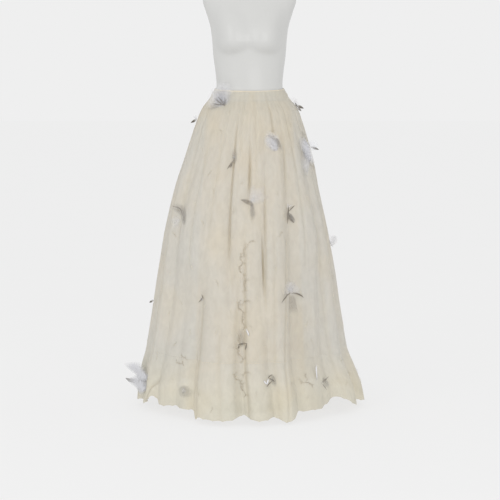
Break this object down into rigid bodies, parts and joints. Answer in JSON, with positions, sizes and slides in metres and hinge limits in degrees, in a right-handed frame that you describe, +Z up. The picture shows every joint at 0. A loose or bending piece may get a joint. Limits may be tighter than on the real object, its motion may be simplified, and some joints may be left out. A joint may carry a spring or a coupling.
{
  "type": "feather skirt on dress form",
  "caption": "Floor-length ivory gathered skirt with a fluted hem flounce and scattered feather tufts, standing on an armless white dress form with a round base.",
  "frame": {"origin": "middle of the underside of the dress form's round base, on the floor", "axes": "+Z up, -Y to the wearer's front, +X to the wearer's left"},
  "size_m": [0.8928, 0.7878, 1.664],
  "materials": {
    "ivory_organza": "sheer ivory organza with a fine crinkle",
    "ivory_satin": "matt cream satin underskirt",
    "down": "white down plumes with dark brown-grey tips",
    "form_white": "glossy white moulded form",
    "stand_steel": "brushed steel"
  },
  "bodies": {
    "root": {"feather_01": "down", "feather_02": "down", "feather_03": "down", "feather_04": "down", "feather_05": "down", "feather_06": "down", "feather_07": "down", "feather_08": "down", "feather_09": "down", "feather_10": "down", "feather_11": "down", "feather_12": "down", "feather_13": "down", "feather_14": "down", "feather_15": "down", "feather_16": "down", "feather_17": "down", "feather_18": "down", "feather_19": "down", "feather_20": "down", "feather_21": "down", "feather_22": "down", "feather_23": "down", "feather_24": "down", "feather_25": "down", "feather_26": "down", "feather_27": "down", "feather_28": "down", "feather_29": "down", "feather_30": "down", "feather_31": "down", "feather_32": "down", "flounce_back_left": "ivory_organza", "flounce_back_right": "ivory_organza", "flounce_front": "ivory_organza", "form_base": "stand_steel", "form_pole": "stand_steel", "form_torso": "form_white", "form_underside": "form_white", "overskirt_back_left": "ivory_organza", "overskirt_back_right": "ivory_organza", "overskirt_front": "ivory_organza", "underskirt_back_left": "ivory_satin", "underskirt_back_right": "ivory_satin", "underskirt_front": "ivory_satin", "waistband": "ivory_organza"}
  },
  "joints": []
}
